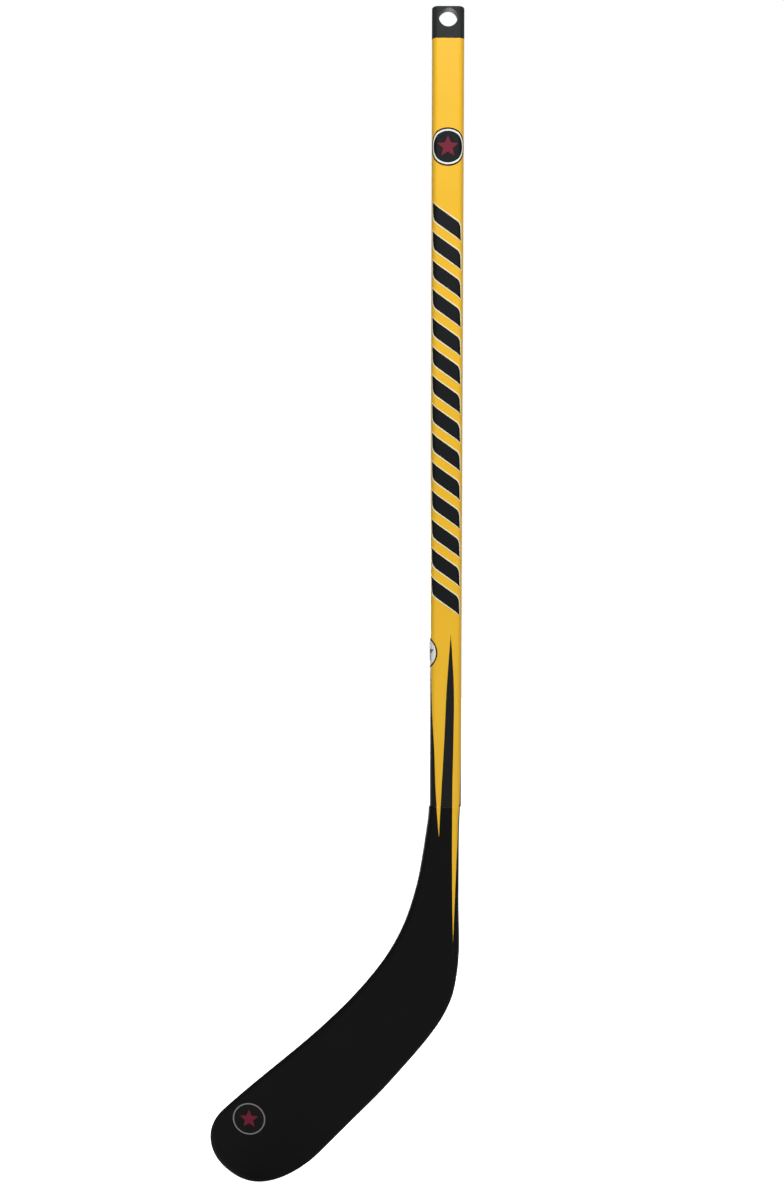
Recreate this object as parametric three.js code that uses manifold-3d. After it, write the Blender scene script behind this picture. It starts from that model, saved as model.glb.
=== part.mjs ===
// A mini (knee hockey) ice hockey stick, about 21 inches long, as the glued assembly that it really is:
// a hollow laminate shaft, a moulded end cap with a hang hole, and a blade of two moulded half shells
// over a rib and foam cores, held to the shaft by a tenon. Printed films carry the graphics.
//
// Millimetres. +Z runs up the shaft to the butt end, +X to the heel's side and -X to the toe, and the
// wide front face looks along -Y. The origin is the centre of the end cap's top face.

import * as THREE from "three";
import { mergeVertices } from "three/addons/utils/BufferGeometryUtils.js";
import Module from "manifold-3d";

const wasm = await Module();
wasm.setup();

// ---------------------------------------------------------------- driving dimensions

const WALL = 1.2; // laminate wall of the tube and of the blade's shells
const FIT = 0.3; // room left between pieces that touch or are glued
const CORE_FIT = 0.5; // the same round the blade's cores

const BUTT_WIDTH = 14.6; // the wide face, at the cap
const TIP_WIDTH = 14.0; // the wide face, where the blade starts
const SHAFT_DEPTH = 9.6; // the narrow face, the same all the way down
const CORNER = { x: 2.6, y: 4.4 }; // the long corners are quarter ellipses: the sides are almost round
const SHARPEST_CORNER = 0.3; // the least radius of a corner inside the shaft
const CORNER_STEPS = 5; // straight strips round each corner
const TIP_Z = -358.6; // lower end of the tube

const CAP_HEIGHT = 14.4;
const CAP_ROUND = 0.9; // rounding of the cap's top edges
const PLUG = { length: 22, lead: 1, leadInset: 0.4, roof: 2 }; // the cap's plug, hollow below its roof
const GLUE = { thickness: 0.4, belowEnd: 1, shortOfPlug: 2, shortOfTenon: 3 }; // the glue sleeves
const HOLE = { z: -5.1, halfWidth: 4.2, halfHeight: 4.2, chamfer: 0.3, overrun: 1, sides: 36 };

// The tenon is chamfered by lead at its top, and below the tube each side of it draws in by taper.
const TENON = { top: -326, bottom: -384, lead: 1.5, leadInset: 0.6, taper: 1 };

// The blade's two edges, from the tube's end to the toe: [x, z]. The toe's round end is cut by a formula.
const TOP_EDGE = [
  [-7.4, -358.9], [-8.4, -368.3], [-12.9, -394.5], [-20.7, -416.6],
  [-33.9, -436.2], [-55.5, -458.8], [-91.3, -490.3], [-116.3, -514.4],
];
const BOTTOM_EDGE = [
  [6.7, -358.9], [6.2, -370.5], [6.1, -399.6], [5.9, -431.7],
  [-1.0, -454.0], [-23.4, -482.1], [-45.6, -505.7], [-79.7, -542.0],
];
const BLADE_RUN = 205; // length of the line midway between the two edges
const TOE_ROUND = 0.102; // share of that length that the round toe takes
const TOE_POWER = 2.23; // 2 is an ellipse, more is squarer
const HEEL = new THREE.Vector2(5, -440);
const TOE_DIRECTION = new THREE.Vector2(-0.73, -0.683).normalize();
const BLADE_LENGTH = 135; // heel to toe
const CURVE = 24; // how far the toe bends back, towards +Y
const CURVE_START = 15; // distance past the heel where the bend starts
const HALF_THICKNESS = { neck: SHAFT_DEPTH / 2, blade: 2.6, toe: 2.0 };
const NECK_TAPER = { from: -45, to: 12 }; // distances past the heel between which the neck thins
const EDGE_ROUND = 2.2; // how far in from the edge the blade is rounded
const EDGE_FLAT = 0.25; // half the flat left on the rounded edge

const TENON_SHARE = 0.245; // the heel core starts below the tenon
const HEEL_SHARE = 0.5; // the foam starts here
const SHARE_GAP = 0.003; // gap between cores end to end, as a share of the run
const RIB_SHARE = 0.055; // the rib's half width, as a share of the blade's half height
const RIB_GAP = 0.02;

const FILM = 0.15; // thickness of the printed films
const FILM_LIFT = 0.12; // room under a film
const FILM_RIM = 0.995; // where a round film's last column stands, as a share of its radius
const SHAFT_BADGE = { z: -63.2, radius: 8.6 };
const SIDE_BADGE = { z: -290, radius: 6.7 };
const BLADE_BADGE = { x: -88.4, z: -502.4, radius: 7.6 };
const BAND = { top: -92.4, bottom: -268.8, middle: -0.55, halfWidth: 7.4, slope: -0.68 };

// ---------------------------------------------------------------- colours

const paint = (color, roughness) => new THREE.MeshStandardMaterial({ color, roughness, metalness: 0 });
const yellowPaint = paint("#fac938", 0.35);
const blackPaint = paint("#161616", 0.45);
const blackPlastic = paint("#2b2d2c", 0.55);
const badgeFilm = paint("#101014", 0.35);
const whiteFilm = paint("#f2f2ee", 0.35);
const bandFilm = paint("#23272b", 0.35);
const glue = paint("#d9cfae", 0.4);
const laminate = paint("#2a2a2c", 0.5);
const denseCore = paint("#8c7f63", 0.7);
const foam = paint("#efe9d8", 0.9);

// ---------------------------------------------------------------- building closed surfaces

const stick = new THREE.Group();

function addPiece(name, geometry, material) {
  const mesh = new THREE.Mesh(geometry, material);
  mesh.name = name;
  stick.add(mesh);
}

function signedVolume(position, index) {
  const corner = (i) => new THREE.Vector3().fromBufferAttribute(position, index[i]);
  let sum = 0;
  for (let i = 0; i < index.length; i += 3) {
    sum += corner(i).dot(corner(i + 1).cross(corner(i + 2)));
  }
  return sum / 6;
}

// Skins a row of rings, each with the same even number of points. A capped loft is closed by strips
// across its first and last ring; one that isn't joins its last ring to its first, as a tube does.
function loft(rings, capped = true) {
  const size = rings[0].length;
  const faces = [];
  const quad = (a, b, c, d) => faces.push(a, b, c, a, c, d);
  const spans = capped ? rings.length - 1 : rings.length;
  for (let i = 0; i < spans; i += 1) {
    const here = i * size;
    const next = ((i + 1) % rings.length) * size;
    for (let j = 0; j < size; j += 1) {
      const k = (j + 1) % size;
      quad(here + j, here + k, next + k, next + j);
    }
  }
  const end = (rings.length - 1) * size;
  for (let j = 0; capped && j < size / 2 - 1; j += 1) {
    const across = size - 1 - j;
    quad(across, across - 1, j + 1, j);
    quad(end + j, end + j + 1, end + across - 1, end + across);
  }
  const geometry = new THREE.BufferGeometry().setFromPoints(rings.flat());
  if (signedVolume(geometry.getAttribute("position"), faces) < 0) {
    faces.reverse();
  }
  return geometry.setIndex(faces);
}

function solidOf(geometry) {
  const merged = mergeVertices(geometry, 1e-4);
  return new wasm.Manifold(
    new wasm.Mesh({
      numProp: 3,
      vertProperties: merged.getAttribute("position").array,
      triVerts: new Uint32Array(merged.index.array),
    }),
  );
}

function geometryOf(solid) {
  const mesh = solid.getMesh();
  const geometry = new THREE.BufferGeometry();
  geometry.setAttribute("position", new THREE.BufferAttribute(mesh.vertProperties, 3));
  return geometry.setIndex(new THREE.BufferAttribute(mesh.triVerts, 1));
}

// ---------------------------------------------------------------- shaft, cap and tenon

// One ring of the shaft's section: a rectangle with elliptical corners, shrunk all round by inset.
function section(width, inset, z) {
  const radiusX = Math.max(CORNER.x - inset, SHARPEST_CORNER);
  const radiusY = Math.max(CORNER.y - inset, SHARPEST_CORNER);
  const halfX = width / 2 - inset - radiusX;
  const halfY = SHAFT_DEPTH / 2 - inset - radiusY;
  const ring = [];
  for (let corner = 0; corner < 4; corner += 1) {
    const signX = corner === 0 || corner === 3 ? 1 : -1;
    const signY = corner < 2 ? 1 : -1;
    for (let i = 0; i <= CORNER_STEPS; i += 1) {
      const angle = ((corner + i / CORNER_STEPS) * Math.PI) / 2;
      const x = signX * halfX + radiusX * Math.cos(angle);
      const y = signY * halfY + radiusY * Math.sin(angle);
      ring.push(new THREE.Vector3(x, y, z));
    }
  }
  return ring;
}

function shaftWidth(z) {
  return THREE.MathUtils.mapLinear(z, -CAP_HEIGHT, TIP_Z, BUTT_WIDTH, TIP_WIDTH);
}

const tubeTop = -CAP_HEIGHT - FIT;
const plugEnd = -CAP_HEIGHT - PLUG.length;
const plugInset = WALL + 2 * FIT + GLUE.thickness; // of the plug and the tenon, from the tube's outside

function shaftTube() {
  const ends = [tubeTop, TIP_Z];
  const outside = ends.map((z) => section(shaftWidth(z), 0, z));
  const inside = ends.map((z) => section(shaftWidth(z), WALL, z)).reverse();
  return loft([...outside, ...inside], false);
}

function hangHole() {
  const { z, halfWidth, halfHeight, chamfer, overrun, sides } = HOLE;
  const face = SHAFT_DEPTH / 2;
  const half = [[face - chamfer, 0], [face + overrun, chamfer + overrun]];
  const profile = [...half.map(([y, flare]) => [-y, flare]).reverse(), ...half];
  const rings = profile.map(([y, flare]) => {
    const ring = [];
    for (let i = 0; i < sides; i += 1) {
      const angle = ((i + 0.5) / sides) * 2 * Math.PI;
      const x = (halfWidth + flare) * Math.cos(angle);
      ring.push(new THREE.Vector3(x, y, z + (halfHeight + flare) * Math.sin(angle)));
    }
    return ring;
  });
  return solidOf(loft(rings));
}

// The head is flush with the tube. The plug below it is hollow from its lower end, as a moulding is.
function endCap() {
  const roundedTop = [0, 1, 2, 3, 4].map((i) => {
    const angle = ((i / 4) * Math.PI) / 2;
    return section(BUTT_WIDTH, CAP_ROUND * (1 - Math.sin(angle)), -CAP_ROUND * (1 - Math.cos(angle)));
  });
  const head = [...roundedTop, section(BUTT_WIDTH, 0, -CAP_HEIGHT)];
  const plug = [
    section(BUTT_WIDTH, plugInset, -CAP_HEIGHT),
    section(BUTT_WIDTH, plugInset, plugEnd + PLUG.lead),
    section(BUTT_WIDTH, plugInset + PLUG.leadInset, plugEnd),
  ];
  const pocket = [
    section(BUTT_WIDTH, plugInset + WALL, plugEnd),
    section(BUTT_WIDTH, plugInset + WALL, -CAP_HEIGHT - PLUG.roof),
  ];
  return geometryOf(solidOf(loft([...head, ...plug, ...pocket])).subtract(hangHole()));
}

// A thin sleeve between a plug or tenon and the tube round it.
function glueSleeve(top, bottom) {
  const innerInset = WALL + FIT + GLUE.thickness;
  const outside = [top, bottom].map((z) => section(shaftWidth(z), WALL + FIT, z));
  const inside = [bottom, top].map((z) => section(shaftWidth(z), innerInset, z));
  return loft([...outside, ...inside], false);
}

// It fills the tube's end and runs on into the neck, which closes round it.
function bladeTenon() {
  return loft([
    section(TIP_WIDTH, plugInset + TENON.leadInset, TENON.top),
    section(TIP_WIDTH, plugInset, TENON.top - TENON.lead),
    section(TIP_WIDTH, plugInset, TIP_Z),
    section(TIP_WIDTH, plugInset + TENON.taper, TENON.bottom),
  ]);
}

addPiece("shaft_tube", shaftTube(), yellowPaint);
addPiece("end_cap", endCap(), blackPlastic);
addPiece("cap_glue", glueSleeve(tubeTop - GLUE.belowEnd, plugEnd + GLUE.shortOfPlug), glue);
addPiece("blade_tenon", bladeTenon(), laminate);
addPiece("tenon_glue", glueSleeve(TENON.top - GLUE.shortOfTenon, TIP_Z + GLUE.belowEnd), glue);

// ---------------------------------------------------------------- blade

const edgeCurve = (points) => {
  const inPlane = points.map(([x, z]) => new THREE.Vector3(x, 0, z));
  return new THREE.CatmullRomCurve3(inPlane, false, "catmullrom", 0.5);
};
const topEdge = edgeCurve(TOP_EDGE);
const bottomEdge = edgeCurve(BOTTOM_EDGE);

// Distance past the heel, measured towards the toe.
function pastHeel(x, z) {
  return new THREE.Vector2(x, z).sub(HEEL).dot(TOE_DIRECTION);
}

function halfThickness(x, z) {
  const past = pastHeel(x, z);
  const { neck, blade, toe } = HALF_THICKNESS;
  const thinned = THREE.MathUtils.smoothstep(past, NECK_TAPER.from, NECK_TAPER.to);
  const towardsToe = THREE.MathUtils.clamp(past / BLADE_LENGTH, 0, 1);
  return THREE.MathUtils.lerp(neck, THREE.MathUtils.lerp(blade, toe, towardsToe), thinned);
}

// How far the blade's middle surface has bent back at a place on it.
function bend(x, z) {
  const share = (pastHeel(x, z) - CURVE_START) / (BLADE_LENGTH - CURVE_START);
  return CURVE * Math.max(share, 0) ** 2;
}

// A point of the blade's flat pattern: share 0 at the tube to 1 at the toe, side -1 at the bottom edge to
// 1 at the top edge. inset pulls it in from the edges. The half thickness there goes with it.
function bladePoint(share, side, inset) {
  const corner = (1 - Math.abs(side) ** TOE_POWER) ** (1 / TOE_POWER);
  const reach = 1 - TOE_ROUND * (1 - corner);
  const along = share * reach * (1 - inset / BLADE_RUN);
  const top = topEdge.getPoint(along);
  const bottom = bottomEdge.getPoint(along);
  const halfHeight = top.distanceTo(bottom) / 2;
  const across = side * (1 - inset / halfHeight);
  const place = bottom.lerp(top, (1 + across) / 2);
  const sideRoom = (1 - Math.abs(side)) * (halfHeight - inset);
  const toeRoom = (1 - share) * reach * BLADE_RUN;
  const full = halfThickness(place.x, place.z) - inset;
  const rounded = Math.min(CORNER.y, full);
  const out = 1 - Math.min(sideRoom, toeRoom, EDGE_ROUND) / EDGE_ROUND;
  const half = Math.max(full - rounded * (1 - Math.sqrt(1 - out ** 2)), EDGE_FLAT);
  return { x: place.x, z: place.z, half };
}

// A closed solid of the blade's flat pattern between two shares of its length and two sides.
function bladeBlock({ inset = 0, from = 0, to = 1, low = -1, high = 1, rows = 26, columns = 12 }) {
  const rings = [];
  for (let i = 0; i <= rows; i += 1) {
    const share = from + (to - from) * Math.sin(((i / rows) * Math.PI) / 2);
    const points = [];
    for (let j = 0; j <= columns; j += 1) {
      const side = low + ((high - low) * (1 - Math.cos((j / columns) * Math.PI))) / 2;
      points.push(bladePoint(share, side, inset));
    }
    const front = points.map((p) => new THREE.Vector3(p.x, -p.half, p.z));
    const back = points.map((p) => new THREE.Vector3(p.x, p.half, p.z)).reverse();
    rings.push([...front, ...back]);
  }
  return loft(rings);
}

function bent(geometry) {
  const position = geometry.getAttribute("position");
  for (let i = 0; i < position.count; i += 1) {
    position.setY(i, position.getY(i) + bend(position.getX(i), position.getZ(i)));
  }
  return geometry;
}

// A box larger than the blade that keeps one side of the parting plane.
function halfSpace(direction) {
  const room = { x: 400, y: 20, z: 600 };
  const box = new THREE.BoxGeometry(room.x, room.y, room.z);
  box.deleteAttribute("normal");
  box.deleteAttribute("uv");
  box.translate(0, (direction * (room.y + FIT)) / 2, -room.z / 2);
  return solidOf(box);
}

function bladeShell(direction) {
  const outside = solidOf(bladeBlock({ from: SHARE_GAP }));
  const cavity = solidOf(bladeBlock({ inset: WALL, from: 0, rows: 20, columns: 8 }));
  return bent(geometryOf(outside.intersect(halfSpace(direction)).subtract(cavity)));
}

const core = (options) => bent(bladeBlock({ inset: WALL + CORE_FIT, rows: 14, columns: 5, ...options }));
const blade = { from: HEEL_SHARE + SHARE_GAP };

addPiece("blade_shell_front", bladeShell(-1), blackPaint);
addPiece("blade_shell_back", bladeShell(1), blackPaint);
addPiece("heel_core", core({ from: TENON_SHARE, to: HEEL_SHARE }), denseCore);
addPiece("blade_rib", core({ ...blade, low: -RIB_SHARE, high: RIB_SHARE, columns: 1 }), laminate);
addPiece("foam_core_upper", core({ ...blade, low: RIB_SHARE + RIB_GAP }), foam);
addPiece("foam_core_lower", core({ ...blade, high: -RIB_SHARE - RIB_GAP }), foam);

// ---------------------------------------------------------------- printed films

const CORNER_ARC = (Math.PI / 2) * Math.sqrt((CORNER.x ** 2 + CORNER.y ** 2) / 2); // length round a corner

// The point lift above the shaft's surface that lies wrap millimetres round the section from the middle of
// the front face, positive towards +X.
function onShaft(wrap, z, lift) {
  const halfX = shaftWidth(z) / 2 - CORNER.x;
  const halfY = SHAFT_DEPTH / 2 - CORNER.y;
  const far = Math.abs(wrap);
  const turn = (THREE.MathUtils.clamp((far - halfX) / CORNER_ARC, 0, 1) * Math.PI) / 2;
  const x = Math.min(far, halfX) + (CORNER.x + lift) * Math.sin(turn);
  const y = -halfY - (CORNER.y + lift) * Math.cos(turn) + Math.max(far - halfX - CORNER_ARC, 0);
  return new THREE.Vector3(Math.sign(wrap) * x, y, z);
}

// The same on the narrow side that looks along -X, from the middle of that side.
function onSide(wrap, z, lift) {
  const toMiddle = shaftWidth(z) / 2 - CORNER.x + CORNER_ARC + SHAFT_DEPTH / 2 - CORNER.y;
  const point = onShaft(toMiddle - Math.abs(wrap), z, lift);
  return new THREE.Vector3(-point.x, -Math.sign(wrap) * point.y, z);
}

// A film as columns across it: the outline gives each column's two ends along z.
function film(halfWidth, outline, place, columns = 44) {
  const rings = [];
  for (let i = 0; i <= columns; i += 1) {
    const across = -halfWidth * Math.cos((i / columns) * Math.PI);
    const [low, high] = outline(across);
    rings.push([
      place(across, low, FILM_LIFT),
      place(across, high, FILM_LIFT),
      place(across, high, FILM_LIFT + FILM),
      place(across, low, FILM_LIFT + FILM),
    ]);
  }
  return loft(rings);
}

const disc = (radius, z) => (across) => {
  const half = Math.sqrt(radius ** 2 - across ** 2);
  return [z - half, z + half];
};
const slantedBand = (across) => [BAND.bottom + BAND.slope * across, BAND.top + BAND.slope * across];
const turned = (geometry) => geometry.clone().rotateZ(Math.PI);

// A round film on the blade's face: direction -1 is the front, 1 the back.
function bladeBadge(direction) {
  const { x, z, radius } = BLADE_BADGE;
  const place = (across, down, lift) => {
    const at = { x: x + across, z: down };
    const y = bend(at.x, at.z) + direction * (halfThickness(at.x, at.z) + lift);
    return new THREE.Vector3(at.x, y, at.z);
  };
  return film(FILM_RIM * radius, disc(radius, z), place, 12);
}

const roundFilm = ({ radius, z }, place) => film(FILM_RIM * radius, disc(radius, z), place);
const shaftBadge = roundFilm(SHAFT_BADGE, onShaft);
const sideBadge = roundFilm(SIDE_BADGE, onSide);
const shaftBand = film(BAND.halfWidth, slantedBand, (across, z, lift) =>
  onShaft(across + BAND.middle, z, lift),
);

addPiece("shaft_badge_front", shaftBadge, badgeFilm);
addPiece("shaft_badge_back", turned(shaftBadge), badgeFilm);
addPiece("side_badge", sideBadge, whiteFilm);
addPiece("shaft_band_front", shaftBand, bandFilm);
addPiece("shaft_band_back", turned(shaftBand), bandFilm);
addPiece("blade_badge_front", bladeBadge(-1), badgeFilm);
addPiece("blade_badge_back", bladeBadge(1), badgeFilm);

export default stick;
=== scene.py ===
# %% [markdown]
# # A mini hockey stick
#
# The stick is a glued assembly: a painted hollow tube, a moulded cap with a hang hole, and a blade made of
# two moulded half shells over foam. The measured design comes in as a fixed frame, and everything that is
# seen is then modelled over it in more detail, with the finish that each real piece has.

import math

import bmesh
import bpy
from mathutils import Matrix, Vector


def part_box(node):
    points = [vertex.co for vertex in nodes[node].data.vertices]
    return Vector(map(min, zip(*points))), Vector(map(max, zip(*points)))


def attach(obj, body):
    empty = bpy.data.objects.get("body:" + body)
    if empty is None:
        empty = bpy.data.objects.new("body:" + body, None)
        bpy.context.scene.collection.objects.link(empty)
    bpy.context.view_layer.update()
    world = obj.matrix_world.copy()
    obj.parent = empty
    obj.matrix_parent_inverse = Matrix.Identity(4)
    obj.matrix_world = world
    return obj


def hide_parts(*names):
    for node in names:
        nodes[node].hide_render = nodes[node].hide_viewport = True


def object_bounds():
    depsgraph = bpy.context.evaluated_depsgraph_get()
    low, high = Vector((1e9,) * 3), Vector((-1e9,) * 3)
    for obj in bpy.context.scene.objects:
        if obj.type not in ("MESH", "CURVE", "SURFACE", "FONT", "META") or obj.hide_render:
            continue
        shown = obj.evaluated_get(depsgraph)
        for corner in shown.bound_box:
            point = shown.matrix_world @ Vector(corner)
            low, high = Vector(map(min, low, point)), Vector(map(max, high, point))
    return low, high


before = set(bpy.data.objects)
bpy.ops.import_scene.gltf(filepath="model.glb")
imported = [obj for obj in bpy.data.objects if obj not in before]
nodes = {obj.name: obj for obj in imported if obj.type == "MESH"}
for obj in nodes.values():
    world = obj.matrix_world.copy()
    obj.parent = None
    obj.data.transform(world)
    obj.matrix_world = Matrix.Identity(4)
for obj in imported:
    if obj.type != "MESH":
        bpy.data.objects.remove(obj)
design_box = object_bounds()
MM = 0.001
print("design box, mm:", [[round(v / MM, 1) for v in corner] for corner in design_box])

# %% [markdown]
# ## The camera
#
# A long, thin thing is best shown square on, from far enough away that its ends don't splay. The camera
# stands level with the middle of the stick and rolls a fifth of a degree, which gives the stick its lean.
# The lens follows from two lengths: how far away the stick is, and how much of it the view's height takes.

# %% Camera
CAMERA_DISTANCE = 1250 * MM
VIEW_HEIGHT = 536 * MM
CAMERA_X = -24.3 * MM
CAMERA_Z = -264.6 * MM
ROLL = math.radians(-0.21)

camera = bpy.data.objects.new("camera", bpy.data.cameras.new("camera"))
camera.data.sensor_fit = "VERTICAL"
camera.data.sensor_height = 24
camera.data.lens = camera.data.sensor_height * CAMERA_DISTANCE / VIEW_HEIGHT
camera.location = (CAMERA_X, -CAMERA_DISTANCE, CAMERA_Z)
camera.rotation_euler = (math.pi / 2, ROLL, 0)
bpy.context.scene.collection.objects.link(camera)
bpy.context.scene.camera = camera
print("lens, mm:", round(camera.data.lens, 1))

# %% [markdown]
# ## Sizes
#
# The lengths and widths that the design holds are read off it, so that the fine pieces and the plain ones
# agree. The rest is chosen here: the taper, the corners, the wall and the slight crown of a wide face.

# %% Sizes
tube_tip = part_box("shaft_tube")[0].z
cap_low, cap_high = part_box("end_cap")
BUTT_WIDTH = cap_high.x - cap_low.x
SHAFT_DEPTH = cap_high.y - cap_low.y
TIP_WIDTH = 14.0 * MM
CAP_HEIGHT = 14.4 * MM
CORNER_X, CORNER_Y = 2.6 * MM, 4.4 * MM
WALL = 1.2 * MM
CROWN = 0.12 * MM
tube_top = -CAP_HEIGHT
print("tube, mm:", round(tube_top / MM, 1), "to", round(tube_tip / MM, 1))

# %% [markdown]
# ## Colours, nodes and materials
#
# Colours are written as the sRGB hex codes that a paint chart gives, and one function turns them into the
# linear values that a renderer works in. One function adds a shader node with its settings and its links,
# which keeps the wiring of a material readable. A third starts a material from its shader's plain values.


# %% Colours, nodes and materials
def linear(code):
    channels = [int(code[i : i + 2], 16) / 255 for i in (1, 3, 5)]
    bright = [c / 12.92 if c <= 0.04045 else ((c + 0.055) / 1.055) ** 2.4 for c in channels]
    return (*bright, 1.0)


def add_node(tree, kind, inputs=None, **settings):
    """Adds a node. An input is a plain value, a socket to link, or a node whose first output is linked."""
    made = tree.nodes.new(kind)
    for key, value in settings.items():
        setattr(made, key, value)
    for socket, value in (inputs or {}).items():
        if isinstance(value, bpy.types.Node):
            value = value.outputs[0]
        if isinstance(value, bpy.types.NodeSocket):
            tree.links.new(value, made.inputs[socket])
        else:
            made.inputs[socket].default_value = value
    return made


def new_material(name, **shader_values):
    """A material with its shader's plain values set. An underscore in a name stands for a space."""
    material = bpy.data.materials.new(name)
    material.use_nodes = True
    tree = material.node_tree
    shader = tree.nodes["Principled BSDF"]
    for socket, value in shader_values.items():
        shader.inputs[socket.replace("_", " ")].default_value = value
    return material, tree, shader


WHITE = linear("#ffffff")
print("mid grey in linear light:", round(linear("#808080")[0], 3))

# %% [markdown]
# ## The floor
#
# Sports gear is shown on a white sheet, here a matt acrylic one. A sheet only looks pure white when it is lit
# from within or overexposed, so this one glows, but only towards the camera: its glow is tied to camera rays,
# and the light that it throws back on the stick stays that of a plain pale floor.

# %% Floor
FLOOR_SIZE = 12
floor_mesh = bmesh.new()
bmesh.ops.create_grid(floor_mesh, x_segments=1, y_segments=1, size=FLOOR_SIZE / 2)
floor_data = bpy.data.meshes.new("floor")
floor_mesh.to_mesh(floor_data)
floor_mesh.free()
floor = bpy.data.objects.new("floor", floor_data)
floor.location.z = design_box[0][2]
bpy.context.scene.collection.objects.link(floor)

floor_paint, floor_tree, floor_shader = new_material(
    "lit_white_acrylic", Base_Color=linear("#e8e8e8"), Roughness=0.9, Emission_Color=WHITE
)
floor_seen = add_node(floor_tree, "ShaderNodeLightPath").outputs["Is Camera Ray"]
floor_tree.links.new(floor_seen, floor_shader.inputs["Emission Strength"])
floor_data.materials.append(floor_paint)
print("floor level, mm:", round(floor.location.z / MM, 1))

# %% [markdown]
# ## The sky
#
# The studio is a gradient in the sky, which costs less than walls. It is bright behind the stick, where the
# white sheet would stand, and that gives glossy edges their thin pale line. It is dim in front, which keeps
# black paint black. A still brighter patch right behind the stick lights the inside of the hang hole. What
# the camera sees past the stick is plain white either way.

# %% Sky
FRONT_SKY, BACK_SKY, PATCH = 0.03, 0.36, 1.2
ROOM_FADE = (-0.3, 0.5)
PATCH_FADE = (0.85, 0.96)

world = bpy.data.worlds.new("white_studio")
bpy.context.scene.world = world
world.use_nodes = True
sky = world.node_tree
sky.nodes.clear()
direction = add_node(sky, "ShaderNodeTexCoord").outputs["Generated"]
depth = add_node(sky, "ShaderNodeSeparateXYZ", {0: direction}).outputs["Y"]
room_range = {"Value": depth, "From Min": ROOM_FADE[0], "From Max": ROOM_FADE[1]}
room_light = {"To Min": FRONT_SKY, "To Max": BACK_SKY}
room = add_node(sky, "ShaderNodeMapRange", room_range | room_light, interpolation_type="SMOOTHSTEP")
patch_range = {"Value": depth, "From Min": PATCH_FADE[0], "From Max": PATCH_FADE[1], "To Max": PATCH}
patch = add_node(sky, "ShaderNodeMapRange", patch_range)
glow = add_node(sky, "ShaderNodeMath", {0: room, 1: patch}, operation="ADD")
seen = add_node(sky, "ShaderNodeLightPath").outputs["Is Camera Ray"]
strength = add_node(sky, "ShaderNodeMix", {"Factor": seen, "A": glow, "B": 1.0})
shine = add_node(sky, "ShaderNodeBackground", {"Color": WHITE, "Strength": strength})
add_node(sky, "ShaderNodeOutputWorld", {"Surface": shine})
print("sky strength, front, back and patch:", FRONT_SKY, BACK_SKY, PATCH)

# %% [markdown]
# ## The lamps
#
# Large soft boxes give soft edges to every highlight. The key stands in front and above and lights the butt,
# so the yellow is brightest there and deepens down the shaft. A weak fill from low in front lifts the lower
# half. A small lamp behind reaches into the hang hole, and one above and behind rims the top of the cap.


# %% Lamps
def add_lamp(name, place, size, watts, aim):
    data = bpy.data.lights.new(name, "AREA")
    data.shape = "RECTANGLE"
    data.size, data.size_y = size
    data.energy = watts
    lamp = bpy.data.objects.new(name, data)
    lamp.location = place
    lamp.rotation_euler = (Vector(aim) - Vector(place)).to_track_quat("-Z", "Y").to_euler()
    bpy.context.scene.collection.objects.link(lamp)
    return lamp


butt = (0, 0, 0)
middle = (0, 0, CAMERA_Z)
add_lamp("key_softbox", place=(0.05, -0.9, 0.6), size=(0.7, 0.6), watts=13.3, aim=butt)
add_lamp("front_fill", place=(0.05, -1.6, -1.3), size=(1.2, 0.6), watts=17, aim=middle)
add_lamp("backdrop_glow", place=(-0.15, 0.9, -0.35), size=(0.6, 0.3), watts=4, aim=butt)
add_lamp("top_softbox", place=(0, 0.6, 1.3), size=(1.4, 1.0), watts=6, aim=middle)
bpy.context.scene.view_settings.view_transform = "Standard"

# %% [markdown]
# ## The painted spikes
#
# The whole stick is sprayed yellow and then black from the blade upwards, and the black ends in long masked
# spikes. They could be cut out as separate skins, but paint has no thickness to show, so they are drawn in
# the lacquer. A spike's edge is a line that wanders sideways as it climbs, so each edge is a few points of
# height and sideways place in millimetres. The right strip jogs in by a millimetre where the tube ends,
# because the blade's neck is a little narrower there.

# %% The edges of the spikes
SPIKE_EDGES = {
    "left_strip": [(-250, -12.0), (-275, -11.1), (-290, -9.7), (-303, -8.5), (-316, -7.2), (-333, -5.4),
                   (-350, -4.6), (-364, -3.64), (-373, -2.85)],
    "centre_left": [(-270, 2.4), (-281, 2.1), (-290, 1.45), (-307, 0.3), (-330, -0.7), (-350, -1.75),
                    (-373, -2.9)],
    "centre_right": [(-270, 1.8), (-281, 2.1), (-290, 2.75), (-307, 3.65), (-330, 3.5), (-352, 3.1),
                     (-401, 3.2), (-420, 3.65)],
    "right_strip": [(-320, 12.0), (-350, 8.3), (-357.9, 7.6), (-359.3, 6.4), (-378, 5.3), (-405, 4.2),
                    (-420, 3.65)],
}  # fmt: skip
BLACK_IS = {
    "left_strip": "LESS_THAN",
    "centre_left": "GREATER_THAN",
    "centre_right": "LESS_THAN",
    "right_strip": "GREATER_THAN",
}
CHART_LOW, CHART_HIGH = -425.0, -245.0
CHART_REACH = 12.0
print("spike edges:", {name: len(points) for name, points in SPIKE_EDGES.items()})

# %% [markdown]
# ## Reading the spikes off a chart
#
# A Float Curve node holds a curve whose two axes both run from 0 to 1, so a point of the stick is first
# placed on a chart: how far across it lies and how high. On the flat face, across is just x. On a narrow side
# x hardly changes, so the depth is added to it there and the spikes run on round the side. Tube and blade
# share the curves, so the spikes cross the joint without a break.


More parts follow.
